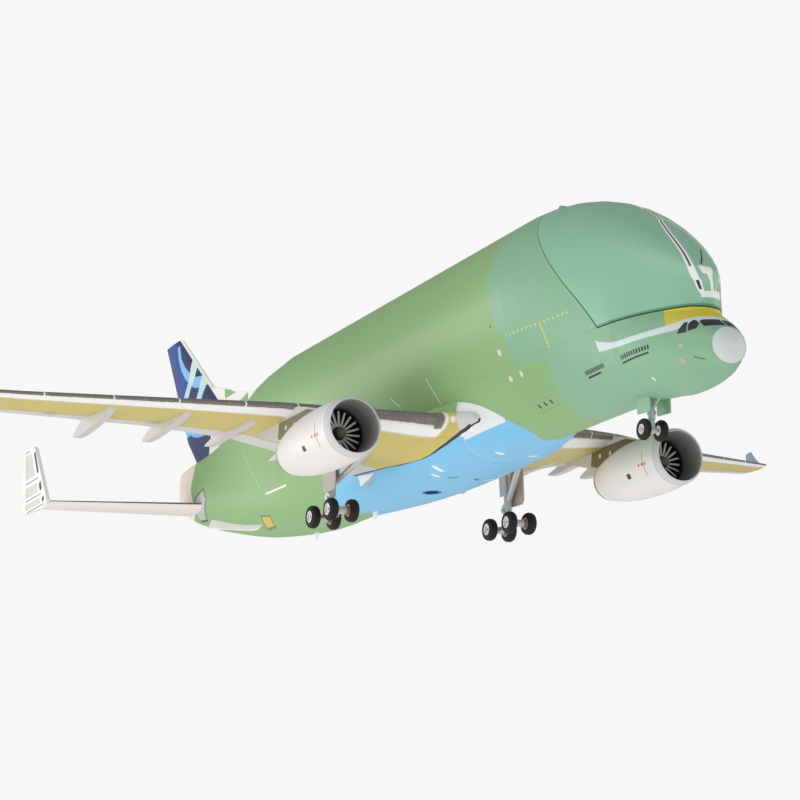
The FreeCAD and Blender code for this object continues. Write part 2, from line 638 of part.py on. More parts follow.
def nose_fork():
    x, z = NOSE_GEAR_X, NOSE_WHEEL_R
    piston = rod(V(x, 0, z), V(x, 0, 8.4), 0.5 - RUN_FIT)
    sleeve = rod(V(x, 0, z), V(x, 0, 4.8), 0.7)
    boss = cross_rod(x, z, -0.9, 0.9, 0.75)
    return fuse([piston, sleeve, boss]).cut(cross_rod(x, z, -2, 2, AXLE_R + RUN_FIT))


def nose_brace(leg, outer):
    brace = rod(V(NOSE_GEAR_X, 0, 6.8), V(NOSE_GEAR_X + 6.5, 0, 11.5), 0.35)
    return biggest(cut(brace, leg, outer))


def nose_doors(outer):
    doors = []
    for side in (1, -1):
        y = side * 2.7
        door = plate_xz([(122.4, 6.3), (127.6, 5.9), (127.9, 14), (122.4, 14)], y - 0.2, y + 0.2)
        doors.append(biggest(door.cut(outer)))
    return Part.makeCompound(doors)


# ---- build --------------------------------------------------------------------------------
def build_fuselage(outer, belly):
    door, upper, lower, tail, floor = fuselage_parts(outer, cavity_solid())
    plug, socket = stand_socket()
    bracket, lugs, pin = hinge_parts(door, upper)
    save("cargo_door", door)
    save("fuselage_upper", upper)
    save("fuselage_lower", biggest(lower.cut(plug)))
    save("fuselage_tail", tail)
    save("cargo_floor", floor)
    save("door_hinge_bracket", bracket)
    save("door_hinge_lugs", lugs)
    save("door_hinge_pin", pin)
    save("stand_socket", socket)
    save("belly_fairing", biggest(cut(belly, outer, plug)))
    save("ventral_strakes", Part.makeCompound([strake(s, outer) for _, s in sides()]))
    blades = [belly_antenna(x, 2.0, outer.fuse(belly)) for x in ANTENNA_X]
    save("antennas", Part.makeCompound(blades))


def build_wings(outer, belly):
    wings = {}
    for name, side in sides():
        full = surface(WING_STATIONS, side)
        wing = biggest(cut(full, outer, belly))
        wings[side] = wing
        save("wing_" + name, wing)
        canoes = [cut(flap_fairing(*row, side), full, belly, outer) for row in FLAP_FAIRINGS]
        save("flap_fairings_" + name, Part.makeCompound([biggest(c) for c in canoes]))
    return wings


def build_engines(wings):
    for name, side in sides():
        cowl = nacelle(side)
        save("nacelle_" + name, cowl)
        save("engine_core_" + name, engine_core(side, cowl))
        save("fan_" + name, fan(side))
        save("pylon_" + name, pylon(side, wings[side], nacelle(side, filled=True)))


def build_tail(outer):
    save("tail_fin", tail_fin(outer))
    for name, side in sides():
        save("tailplane_" + name, biggest(surface(TAILPLANE_STATIONS, side).cut(outer)))
        save("tip_fin_" + name, tip_fin(side))


def build_main_gear(wings, belly):
    save("bay_doors", Part.makeCompound([bay_door(s, fuse([belly, wings[s]])) for _, s in sides()]))
    links = []
    for name, side in sides():
        strut = main_strut(side, wings[side])
        save("main_strut_" + name, strut)
        links.append(torque_link(side, strut))
        save("side_brace_" + name, side_brace(side, strut, wings[side], belly))
        save("main_gear_door_" + name, main_door(side, strut, wings[side]))
        save("bogie_beam_" + name, bogie_beam(side))
        save("brake_discs_" + name, brake_discs(side))
        for place, dx in (("front", BOGIE_HALF_BASE), ("rear", -BOGIE_HALF_BASE)):
            tyres, hubs, axle = wheel_pair(MAIN_X + dx, side * MAIN_Y, MAIN_WHEEL_R, MAIN_WHEEL_R,
                                           MAIN_TYRE_WIDTH, MAIN_WHEEL_Y, 1.6)
            save("tyres_%s_%s" % (name, place), tyres)
            save("hubs_%s_%s" % (name, place), hubs)
            save("axle_%s_%s" % (name, place), axle)
    save("torque_links", Part.makeCompound(links))


def build_nose_gear(outer):
    leg = nose_leg(outer)
    tyres, hubs, axle = wheel_pair(NOSE_GEAR_X, 0, NOSE_WHEEL_R, NOSE_WHEEL_R, NOSE_TYRE_WIDTH,
                                   NOSE_WHEEL_Y, 1.2)
    save("nose_leg", leg)
    save("nose_fork", nose_fork())
    save("nose_brace", nose_brace(leg, outer))
    save("nose_gear_doors", nose_doors(outer))
    save("nose_tyres", tyres)
    save("nose_hubs", hubs)
    save("nose_axle", axle)


def build():
    os.makedirs("parts", exist_ok=True)
    outer = fuselage_solid()
    belly = belly_solid()
    build_fuselage(outer, belly)
    wings = build_wings(outer, belly)
    build_engines(wings)
    build_tail(outer)
    build_main_gear(wings, belly.fuse(outer))
    build_nose_gear(outer)


build()
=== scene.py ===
import bpy
import math
from mathutils import Matrix, Vector

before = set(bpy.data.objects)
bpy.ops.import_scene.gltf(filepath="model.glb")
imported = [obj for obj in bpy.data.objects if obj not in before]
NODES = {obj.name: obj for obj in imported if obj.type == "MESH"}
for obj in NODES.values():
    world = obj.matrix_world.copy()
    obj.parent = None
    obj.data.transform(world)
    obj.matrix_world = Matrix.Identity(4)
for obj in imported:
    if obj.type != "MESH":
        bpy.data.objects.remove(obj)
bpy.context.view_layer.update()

# Desktop model of a whale-shaped outsize-cargo twin jet. The shapes all come from the CAD frame, and
# this script paints them and adds the camera, the floor and the light. Paint is laid out in
# millimetres in the row frame (+X forward, +Y port, +Z up). Lights are placed in metres.
MM = 0.001
SIDES = [("left", 1), ("right", -1)]
SIDE_NAME = {1: "left", -1: "right"}
ENGINE_SIDE = 46.85
ENGINE_Z = 12.7
FAN_FACE_X = 58.38


# ---- colours ------------------------------------------------------------------------------
def srgb(red, green, blue):
    """Linear colour from display values of 0 to 255."""
    linear = []
    for value in (red, green, blue):
        v = value / 255
        linear.append(v / 12.92 if v < 0.04045 else ((v + 0.055) / 1.055) ** 2.4)
    return tuple(linear)


GREEN = srgb(136, 176, 116)
TEAL = srgb(132, 176, 141)
DOOR_TEAL = srgb(136, 187, 157)
BLUE_BELLY = srgb(118, 192, 232)
WHITE = srgb(236, 234, 230)
CREAM = srgb(238, 222, 205)
OCHRE = srgb(196, 180, 92)
YELLOW = srgb(208, 196, 60)
DARK = srgb(28, 28, 30)
GLASS = srgb(22, 24, 30)
SKY = srgb(112, 180, 226)
MINT = srgb(198, 224, 214)
DEEP_NAVY = srgb(10, 28, 84)
CORNER_WHITE = srgb(232, 234, 238)
MARKING = srgb(16, 36, 26)
BACKDROP = srgb(246, 246, 246)


# ---- node fields --------------------------------------------------------------------------
class Field:
    """A number that varies over a surface; arithmetic on it adds Math nodes."""

    def __init__(self, tree, socket):
        self.tree = tree
        self.socket = socket

    def op(self, kind, *others, clamp=False):
        node = self.tree.nodes.new("ShaderNodeMath")
        node.operation = kind
        node.use_clamp = clamp
        for slot, value in zip(node.inputs, (self,) + others):
            if isinstance(value, Field):
                self.tree.links.new(value.socket, slot)
            else:
                slot.default_value = value
        return Field(self.tree, node.outputs[0])

    def __add__(self, other):
        return self.op("ADD", other)

    __radd__ = __add__

    def __sub__(self, other):
        return self.op("SUBTRACT", other)

    def __rsub__(self, other):
        return self.op("MULTIPLY_ADD", -1.0, other)

    def __mul__(self, other):
        return self.op("MULTIPLY", other)

    __rmul__ = __mul__

    def __truediv__(self, other):
        return self.op("DIVIDE", other)

    def __neg__(self):
        return self.op("MULTIPLY", -1.0)

    def both(self, other):
        return self.op("MINIMUM", other)

    def either(self, other):
        return self.op("MAXIMUM", other)

    def size(self):
        return self.op("ABSOLUTE")

    def cover(self, soft=0.06):
        """1 where this distance is positive, 0 where negative, with an edge soft mm wide."""
        return self.op("MULTIPLY_ADD", 0.5 / soft, 0.5, clamp=True)


def lerp_curve(field, points, smooth=True):
    """The height of a curve through points at field, held level past its ends."""
    xs = [p[0] for p in points]
    ys = [p[1] for p in points]
    x0, dx = min(xs), max(xs) - min(xs)
    y0, dy = min(ys), max(max(ys) - min(ys), 1e-6)
    node = field.tree.nodes.new("ShaderNodeFloatCurve")
    curve = node.mapping.curves[0]
    unit = [((x - x0) / dx, (y - y0) / dy) for x, y in points]
    while len(curve.points) < len(unit):
        curve.points.new(0.5, 0.5)
    for spot, place in zip(curve.points, unit):
        spot.location = place
        spot.handle_type = "AUTO" if smooth else "VECTOR"
    node.mapping.extend = "HORIZONTAL"
    node.mapping.update()
    field.tree.links.new(field.op("MULTIPLY_ADD", 1 / dx, -x0 / dx).socket, node.inputs["Value"])
    return Field(field.tree, node.outputs[0]).op("MULTIPLY_ADD", dy, y0)


def poly(u, v, points):
    """Signed distance inside a convex polygon, positive within; points run either way round."""
    area = sum(a[0] * b[1] - b[0] * a[1] for a, b in zip(points, points[1:] + points[:1]))
    turn = 1 if area > 0 else -1
    inside = None
    for a, b in zip(points, points[1:] + points[:1]):
        du, dv = b[0] - a[0], b[1] - a[1]
        run = math.hypot(du, dv) * turn
        nu, nv = -dv / run, du / run
        side = (u * nu).op("ADD", (v * nv) - (a[0] * nu + a[1] * nv))
        inside = side if inside is None else inside.both(side)
    return inside


def rect(u, v, u0, u1, v0, v1):
    """Signed distance inside an upright rectangle, positive within."""
    half_u, half_v = (u1 - u0) / 2, (v1 - v0) / 2
    return (half_u - (u - (u0 + u1) / 2).size()).both(half_v - (v - (v0 + v1) / 2).size())


def stroke(u, v, a, b, width):
    """Signed distance inside a line of that width from a to b."""
    du, dv = b[0] - a[0], b[1] - a[1]
    run = math.hypot(du, dv)
    tu, tv = du / run, dv / run
    mid_u, mid_v = (a[0] + b[0]) / 2, (a[1] + b[1]) / 2
    along = (u * tu + v * tv - (mid_u * tu + mid_v * tv)).size()
    across = (v * tu - u * tv - (mid_v * tu - mid_u * tv)).size()
    return (run / 2 - along).both(width / 2 - across)


def disc(u, v, centre, radius):
    """Signed distance inside a circle, positive within."""
    du, dv = u - centre[0], v - centre[1]
    return radius - (du * du + dv * dv).op("SQRT")


SPECKLE_SIZE = 0.35
CLOUD_SIZE = 14.0
BUMP_HEIGHT = 0.06
GROOVE_DEPTH = 1.2


class Paint:
    """A painted material: a base colour, layers over it, fine grain, and a slight bump."""

    def __init__(self, name, base, rough=0.42, metallic=0.0, coat=0.15, grain=0.02, bump=0.02):
        self.material = bpy.data.materials.new(name)
        self.material.use_nodes = True
        self.tree = self.material.node_tree
        self.shader = self.tree.nodes["Principled BSDF"]
        self.shader.inputs["Metallic"].default_value = metallic
        self.shader.inputs["Coat Weight"].default_value = coat
        self.shader.inputs["Coat Roughness"].default_value = 0.25
        place = self.tree.nodes.new("ShaderNodeTexCoord")
        scale = self.tree.nodes.new("ShaderNodeVectorMath")
        scale.operation = "MULTIPLY"
        scale.inputs[1].default_value = (1 / MM, 1 / MM, 1 / MM)
        self.tree.links.new(place.outputs["Object"], scale.inputs[0])
        self.point = scale.outputs[0]
        parts = self.tree.nodes.new("ShaderNodeSeparateXYZ")
        self.tree.links.new(self.point, parts.inputs[0])
        self.x, self.y, self.z = [Field(self.tree, out) for out in parts.outputs]
        self.side = self.y.size()
        self.colour = base
        self.roughness = rough
        self.grain = grain
        self.bump = bump
        self.grooves = None

    def noise(self, size, detail=3.0, rough=0.5):
        node = self.tree.nodes.new("ShaderNodeTexNoise")
        node.inputs["Scale"].default_value = 1 / size
        node.inputs["Detail"].default_value = detail
        node.inputs["Roughness"].default_value = rough
        self.tree.links.new(self.point, node.inputs["Vector"])
        return Field(self.tree, node.outputs["Fac"])

    def plug(self, value, socket):
        if isinstance(value, Field):
            self.tree.links.new(value.socket, socket)
        elif isinstance(value, bpy.types.NodeSocket):
            self.tree.links.new(value, socket)
        else:
            socket.default_value = (*value[:3], 1.0)

    def over(self, mask, colour):
        """Lays colour over what is there, where mask is 1."""
        mix = self.tree.nodes.new("ShaderNodeMix")
        mix.data_type = "RGBA"
        self.plug(mask, mix.inputs["Factor"])
        self.plug(self.colour, mix.inputs[6])
        self.plug(colour, mix.inputs[7])
        self.colour = mix.outputs[2]

    def groove(self, distance, width=0.12, dark=0.45, colour=None):
        """A scribed line where distance is near zero: darker, and sunk in the bump."""
        line = (width / 2 - distance.size()).cover(0.05)
        self.over(line * dark, colour or (0.02, 0.03, 0.03))
        self.grooves = line if self.grooves is None else self.grooves.either(line)

    def finish(self):
        links = self.tree.links
        speckle = self.noise(SPECKLE_SIZE)
        cloud = self.noise(CLOUD_SIZE, 2.0)
        shade = (speckle - 0.5) * (2 * self.grain) + (cloud - 0.5) * (1.4 * self.grain) + 1.0
        tint = self.tree.nodes.new("ShaderNodeMix")
        tint.data_type = "RGBA"
        tint.blend_type = "MULTIPLY"
        tint.inputs["Factor"].default_value = 1.0
        grey = self.tree.nodes.new("ShaderNodeCombineColor")
        for slot in grey.inputs:
            links.new(shade.socket, slot)
        self.plug(self.colour, tint.inputs[6])
        links.new(grey.outputs[0], tint.inputs[7])
        links.new(tint.outputs[2], self.shader.inputs["Base Color"])
        wear = (speckle - 0.5) * 0.12 + (cloud - 0.5) * 0.1
        final = (wear + self.roughness).op("MAXIMUM", 0.05)
        links.new(final.socket, self.shader.inputs["Roughness"])
        height = speckle * self.bump
        if self.grooves is not None:
            height = height - self.grooves * GROOVE_DEPTH
        bump = self.tree.nodes.new("ShaderNodeBump")
        bump.inputs["Strength"].default_value = 0.35
        bump.inputs["Distance"].default_value = BUMP_HEIGHT * MM
        links.new(height.socket, bump.inputs["Height"])
        links.new(bump.outputs["Normal"], self.shader.inputs["Normal"])
        return self.material


def facing(p, axis):
    """How far the surface faces along x, y or z (axis 0, 1, 2), from -1 to 1."""
    coord = next(n for n in p.tree.nodes if n.type == "TEX_COORD")
    parts = p.tree.nodes.new("ShaderNodeSeparateXYZ")
    p.tree.links.new(coord.outputs["Normal"], parts.inputs[0])
    return Field(p.tree, parts.outputs[axis])


def facing_down(p):
    """1 where the surface looks straight down, -1 where it looks straight up."""
    return -facing(p, 2)


# ---- fuselage paint -----------------------------------------------------------------------
DECK_Z = 24.9


class Lines:
    """Scribed frame and deck lines of the hull."""

    def __init__(self, paint):
        self.paint = paint

    def rib(self, where):
        self.paint.groove(self.paint.x - where, 0.16, 0.22, srgb(70, 110, 70))

    def deck(self, start, end):
        line = (self.paint.z - DECK_Z).size()
        run = rect(self.paint.x, self.paint.z, start, end, 20, 30)
        self.paint.groove(line.either(-run), 0.12, 0.25, srgb(60, 110, 84))


def paint_hull():
    """Green primer, a teal front, and the small markings along the sides."""
    p = Paint("hull_paint", GREEN, rough=0.52, coat=0.08)
    x, y, z, side = p.x, p.y, p.z, p.side
    high = z - 24.0
    ring = x - lerp_curve(z, [(10, 100.0), (12.7, 101.3), (16.8, 101.9), (22.8, 103.5)])
    step = x - (91.6 - high * 0.08)
    above = z - lerp_curve(x, [(92.5, 24.1), (98.6, 23.5), (103.5, 22.8)], smooth=False)
    front = ring.either(step.both(above))
    p.over(front.cover(0.15), TEAL)
    lines = Lines(p)
    lines.rib(-26.0)
    lines.rib(-127.5)
    lines.deck(62.0, 124.5)
    stripe_top = lerp_curve(x, [(123.0, 22.8), (126, 21.4), (132.3, 20.3), (140.6, 20.3), (146.3, 20.7),
                                (148.7, 21.5), (151.5, 21.9), (156, 21.6)])
    stripe_low = lerp_curve(x, [(123.0, 19.9), (132, 19.05), (140.7, 18.9), (146.9, 18.9), (148.4, 19.2),
                                (150, 20.0), (156, 20.4)])
    yellow = rect(x, z, 140, 160, 20.4, DECK_Z + 0.3).both(x - 142.6 - (DECK_Z - z) * 0.59)
    p.over(yellow.cover(), YELLOW)
    smile = (stripe_top - z).both(z - stripe_low).both(x - 123.2 - (22.5 - z) * 0.28)
    p.over(smile.cover(), srgb(206, 219, 220))
    panes = poly(x, z, [(148.2, 17.9), (148.4, 18.9), (148.9, 20.5), (149.5, 20.6), (150.2, 17.9)])
    panes = panes.either(poly(x, z, [(150.4, 18.1), (149.8, 20.2), (150.1, 21.0), (150.8, 20.7),
                                     (151.8, 19.7), (151.9, 18.5)]))
    windscreen = rect(side, z, 0.2, 4.7, 18.9, 20.9).both(x - 151.3)
    p.over(windscreen.either(panes).cover(0.05), GLASS)
    p.over((x - 155.3 - (z - 14.5) * 0.06).cover(0.08), srgb(206, 214, 212))
    for n in range(15):
        spot = disc(x, z, (93.4 + 1.6 * n, 30.9), 0.32)
        dots = spot if n == 0 else dots.either(spot)
    for n in range(7):
        dots = dots.either(disc(x, z, (106.2, 30.1 - 0.8 * n), 0.34))
    p.over(dots.cover() * 0.85, srgb(206, 204, 96))
    for where, radius, colour in [((88.7, 34.3), 0.3, DARK), ((87.6, 28.4), 0.75, srgb(206, 214, 206)),
                                  ((92.0, 22.3), 0.7, srgb(206, 214, 206)),
                                  ((87.0, 22.3), 0.7, srgb(206, 214, 206)),
                                  ((148.9, 15.1), 0.5, srgb(184, 182, 160)),
                                  ((147.9, 12.0), 0.5, srgb(190, 168, 150)),
                                  ((137.2, 10.5), 0.4, srgb(200, 224, 208))]:
        p.over(disc(x, z, where, radius).cover(0.12), colour)
    for n in range(3):
        left = 91.6 + 2.65 * n
        shape = poly(x, z, [(left, 14.9), (left + 0.5, 15.3), (left + 0.95, 14.5), (left + 0.45, 14.1)])
        p.over(shape.cover(), DARK)
    frame_line = rect(x, z, 90.2, 99.5, 13.6, 15.8)
    p.groove(frame_line, 0.1, 0.3)
    bars = rect(x, z, 130.6, 140.8, 16.2, 17.2).either(rect(x, z, 115.4, 123.6, 16.3, 17.2))
    ticks = (x * 1.1).op("FRACT") - 0.34
    p.over(bars.cover(0.05) * ticks.cover(0.1), MARKING)
    p.over(rect(x, z, 130.5, 140.4, 15.3, 15.7).cover(0.05), MARKING)
    p.over(rect(x, z, 115.8, 121.4, 15.5, 15.9).cover(0.05), MARKING)
    p.over(stroke(x, z, (150.6, 12.4), (152.2, 11.6), 0.35).cover() * 0.8, srgb(60, 92, 70))
    for a, b in [((52.8, 30.6), (53.9, 23.9)), ((33.5, 29.9), (35.8, 27.3))]:
        p.over(stroke(x, z, a, b, 0.28).cover(), WHITE)
    for n in range(16):
        t = n / 15
        spot = disc(x, z, (-71.9 + 14.4 * t, 41.4 - 15.5 * t), 0.22)
        tail_dots = spot if n == 0 else tail_dots.either(spot)
    p.over(tail_dots.cover() * 0.8, WHITE)
    patch = poly(x, z, [(-63.3, 18.5), (-58.4, 17.5), (-60.8, 15.5), (-67.0, 15.9)])
    p.over((patch + 0.35).cover(0.2), srgb(84, 96, 60))
    p.over(patch.cover(0.2), srgb(206, 184, 92))
    p.over(stroke(x, z, (-54.1, 23.2), (-39.0, 22.6), 0.5).cover(), WHITE)
    plate = poly(x, z, [(-118.4, 32.4), (-111.9, 34.2), (-105.3, 35.2), (-102.6, 31.6),
                        (-110.5, 27.1), (-119.2, 28.5)])
    p.over((plate + 0.55).cover(0.15), srgb(60, 66, 58))
    p.over(plate.cover(0.15), srgb(186, 188, 184))
    cone = (-123.0 - x + (42.3 - z) * 0.658).both((z - 30.5) * 0.5)
    p.over(cone.cover(0.1), CREAM)
    p.groove(cone, 0.2, 0.3, srgb(120, 110, 96))
    return p.finish()


BAND_CENTRE = [(27.4, 1.3), (30.4, 2.8), (33.8, 3.6), (38.5, 3.5), (42.9, 3.2), (48.0, 2.0), (52.4, 0.2),
               (57, 0.0)]


def paint_door():
    """Teal, with white bands and a bar on the outside only."""
    p = Paint("door_paint", DOOR_TEAL)
    y, z, side = p.y, p.z, p.side
    ahead = (p.x - 120).both(facing(p, 0) * 8)
    off = (side - lerp_curve(z, BAND_CENTRE)).size()
    band = (0.58 - off).both(z - 27.2).both(56.5 - z).both(ahead)
    bar = poly(y, z, [(-2.0, 26.9), (-1.6, 28.2), (4.4, 28.9), (4.6, 27.2)]).both(ahead)
    post = stroke(y, z, (-0.9, 32.4), (0.9, 28.0), 0.8).both(ahead)
    wedge = poly(y, z, [(-2.4, 34.2), (0.3, 33.6), (0.2, 31.4), (-2.0, 32.2)]).both(ahead)
    p.over(band.either(bar).either(post).either(wedge).cover(0.08), srgb(238, 242, 242))
    inlay = (0.17 - off).both(z - 34.2).both(55.0 - z).both(ahead)
    inlay = inlay.either((0.26 - off).both(z - 28.6).both(30.7 - z).both(ahead))
    inlay = inlay.either(stroke(y, z, (1.4, 39.6), (-1.6, 34.6), 0.3).both(ahead))
    p.over(inlay.cover(0.06), DARK)
    # Dark seam along the door's lower edge: partly the real joint, widened with painted shade below the
    # dome.
    p.groove(z - 25.3, 0.75, 0.6, srgb(36, 92, 66))
    return p.finish()


# ---- paint of the other parts -------------------------------------------------------------
def plain(name, colour, **look):
    """A material of one colour."""
    return Paint(name, colour, **look).finish()


FLAP_LINE = 0.76
SLAT_LINE = 0.13
# distance out, leading edge x, trailing edge x
WING_EDGES = [(15.0, 70.0, 6.0), (18.5, 57.0, 5.5), (50.0, 35.2, 1.1), (70.0, 21.6, -7.8),
              (146.2, -28.8, -41.1), (150.75, -38.6, -42.2)]
# x along the root, and how far out from the middle the seam is there
ROOT_SEAM = [(14, 16.1), (24, 15.8), (33, 15.15), (40, 14.45), (46, 14.85), (52.4, 15.45), (58, 15.6),
             (63.5, 15.5), (67.3, 15.1), (68.3, 14.55), (69.2, 13.7)]


def paint_wing():
    """Grey, ochre below, with a dark slat edge. The belly's blue runs on to it up to the root seam."""
    p = Paint("wing_paint", srgb(206, 204, 200))
    x, z, side = p.x, p.z, p.side
    lead = lerp_curve(side, [(y, a) for y, a, b in WING_EDGES], smooth=False)
    trail = lerp_curve(side, [(y, b) for y, a, b in WING_EDGES], smooth=False)
    chord = lead - trail
    deep = lead - x
    back = deep / chord
    down = facing_down(p)
    under = (down - 0.15) * 4
    ochre = under.both((back - SLAT_LINE) * 10).both((FLAP_LINE - back) * 10).both(side - 13)
    band = rect(side, x, 12.0, 17.6, 20.0, 63.4).either(rect(side, x, 15.0, 18.4, 58.4, 63.4))
    p.over(ochre.either(band).cover(0.15), OCHRE)
    p.over((x - 63.5 + (side - 16) * 0.4).cover(0.1), srgb(204, 204, 202))
    white = under.both((SLAT_LINE - back) * 10).both(side - 17.4)
    p.over(white.cover(0.15), srgb(236, 234, 231))
    slat = (deep * -1 + chord * 0.02 + 1.6).both(2.9 - down * 4).both(side - 17.7).both(147 - side)
    streak = p.noise(0.5, 2.0)
    p.over((slat + 0.35).cover(0.1), srgb(226, 224, 220))
    p.over(slat.cover(0.1), srgb(104, 100, 96))
    p.over(slat.cover(0.1) * ((streak - 0.52) * 6).op("MULTIPLY", 1.0, clamp=True) * 0.3,
           srgb(176, 170, 164))
    for where in (34.0, 47.0, 58.0, 72.0, 86.0, 101.0, 116.0, 131.0):
        gap = rect(side, deep, where - 0.18, where + 0.18, -1, 3)
        p.over(gap.both(slat + 0.3).cover(0.05), srgb(232, 230, 228))
    p.over(disc(x, z, (62.2, 18.0), 0.8).both(side - 15.5).cover(0.3), srgb(240, 228, 210))
    flap = (FLAP_LINE - back).size() * 30
    p.groove(flap, 0.3, 0.35)
    p.groove((SLAT_LINE - back).size() * 30, 0.2, 0.25)
    for where in (30.0, 50.0, 68.5, 93.0, 112.0):
        p.groove(rect(side, back, where - 0.05, where + 3, FLAP_LINE, 1.2), 0.14, 0.3)
    p.over((side - 146.8).cover(0.2), srgb(150, 164, 182))
    seam = lerp_curve(x, ROOT_SEAM, smooth=False)
    inner = (seam - side).both(down * 4 - 0.2)
    p.over(inner.cover(0.05), BLUE_BELLY)
    p.over(inner.both(x - 62.3).cover(0.05), CORNER_WHITE)
    line = (seam + 0.15 - side).both(side - seam + 0.35).both(down * 4 - 0.2)
    p.over(line.cover(0.05), srgb(20, 22, 16))
    return p.finish()


BELLY_ARC = [(-1.9, 59.6), (-0.2, 58.7), (4.1, 58.1), (7.4, 58.8), (10.1, 59.6), (12.5, 60.8), (14.6, 62.2)]


def paint_belly():
    """Light blue, white at the front corner and green along the top edge."""
    p = Paint("belly_paint", BLUE_BELLY)
    x, z, side = p.x, p.z, p.side
    corner = poly(x, z, [(61.5, 26), (61.5, 13.2), (63.2, 13.2), (76.4, 14.5), (78, 26)])
    p.over(corner.cover(0.1), CORNER_WHITE)
    p.over((61.5 - x).both(z - 19.5).cover(0.1), GREEN)
    for a, b, w in [((41.6, 11.6), (40.6, 8.2), 1.6), ((36.3, 9.2), (35.8, 6.6), 1.3),
                    ((63.8, 6.0), (63.5, 3.5), 1.4)]:
        p.over(stroke(x, side, a, b, w).cover(0.1), WHITE)
    for a, b, w in [((36.4, 4.4), (38.6, 2.5), 1.2), ((54.9, 1.8), (55.1, 1.2), 0.6)]:
        p.over(stroke(x, side, a, b, w).cover(0.1), srgb(84, 112, 138))
    p.groove(x - lerp_curve(side, BELLY_ARC), 0.45, 0.6, srgb(196, 206, 208))
    for where in (0.0, 9.5, 38.0):
        p.groove((x - where).either(side - 9), 0.12, 0.12)
    return p.finish()


def paint_nacelle(side):
    """Pale cowl with a grey lip, a duct that darkens inwards as painted shade, and small marks outside."""
    p = Paint("nacelle_paint_" + SIDE_NAME[side], srgb(228, 224, 221), rough=0.5,
              coat=0.1, grain=0.004, bump=0.0)
    x = p.x
    y = p.y - side * ENGINE_SIDE
    z = p.z - ENGINE_Z
    radius = (y * y + z * z).op("SQRT")
    duct = (6.62 - radius).both(x - 50).both(67.1 - x).cover(0.1)
    speck = p.noise(0.28, 1.0)
    p.over(duct, srgb(140, 140, 138))
    # Painted shade: the duct darkens towards the fan and is black from x 59.6 inwards.
    p.over(duct * ((65.5 - x) * 0.16).op("MULTIPLY", 1.0, clamp=True) * 0.7, srgb(52, 52, 52))
    p.over(duct * (59.6 - x).cover(0.3), srgb(6, 6, 6))
    p.over(duct * ((speck - 0.53) * 12).op("MULTIPLY", 1.0, clamp=True) * 0.4, srgb(70, 68, 68))
    p.over((x - 65.6).cover(0.1) * (1 - duct), srgb(206, 206, 206))
    p.groove(x - 65.5, 0.3, 0.4, srgb(84, 84, 84))
    p.groove(x - 50.0, 0.1, 0.12)
    p.over((34.4 - x).cover(0.1), srgb(110, 106, 102))
    outside = radius - 7.0
    cross = stroke(x, z, (61.0, 1.7), (61.2, -4.4), 0.24)
    for middle in (59.3, 60.6, 61.8):
        cross = cross.either(stroke(x, z, (middle - 0.3, -1.5), (middle + 0.3, -1.6), 0.75))
    p.over(cross.both(outside).cover(0.06), srgb(206, 60, 44))
    p.over(rect(x, z, 52.9, 54.5, -3.9, -2.6).both(outside).cover(0.05), DARK)
    return p.finish()


def paint_pylon(side):
    """Grey with a brown side panel."""
    p = Paint("pylon_paint_" + SIDE_NAME[side], srgb(200, 198, 194))
    x, z = p.x, p.z
    panel = poly(x, z, [(27.5, 22.4), (26.5, 18.4), (33, 16.2), (49, 15.5), (49.5, 20.6), (44, 22.3)])
    p.over(panel.cover(0.1), srgb(112, 100, 70))
    for where in ((31.3, 20.3), (36.3, 20.0)):
        p.over(disc(x, z, where, 0.6).cover(0.1), srgb(216, 212, 196))
    return p.finish()


def paint_fan(side):
    """Bright leading halves of the blades, dark behind them as painted shade between the blades, and dark
    on the spinner.
    """
    # The black base behind the fan face is painted shade between the blades; on the spinner it is the
    # spinner's dark.
    p = Paint("fan_paint_" + SIDE_NAME[side], srgb(8, 8, 8), rough=0.4, coat=0.1)
    y = p.y - side * ENGINE_SIDE
    z = p.z - ENGINE_Z
    radius = (y * y + z * z).op("SQRT")
    p.over((p.x - FAN_FACE_X).both(radius - 1.75).cover(0.05), srgb(226, 224, 216))
    p.over((1.3 - radius).both(p.x - 59.4).cover(0.3), srgb(120, 120, 116))
    return p.finish()


FIN_TOP_Z = 94.5
FIN_LEAD_TOP_X = -144.2
FIN_LEAD_LEAN = 1.107
FIN_TRAIL_TOP_X = -157.75
FIN_TRAIL_LEAN = 0.468
FIN_STRIPES = [[(-131.9, 88.0), (-133.2, 84.5), (-135.3, 78.9), (-140.9, 74.0), (-144.0, 70.5)],
               [(-123.6, 80.5), (-125.6, 77.1), (-127.1, 73.5), (-129.1, 71.3), (-133.0, 66.0)]]
CRESCENT_LOW = [(-147.5, 93.0), (-146.8, 88.2), (-144.5, 83.7), (-140.9, 79.9), (-135.9, 76.5),
                (-131.7, 74.8), (-123.6, 74.0)]
CRESCENT_HIGH = [(-145.6, 92.5), (-144.3, 87.9), (-141.2, 84.2), (-135.9, 80.3), (-131.8, 78.6),
                 (-124.0, 77.6)]


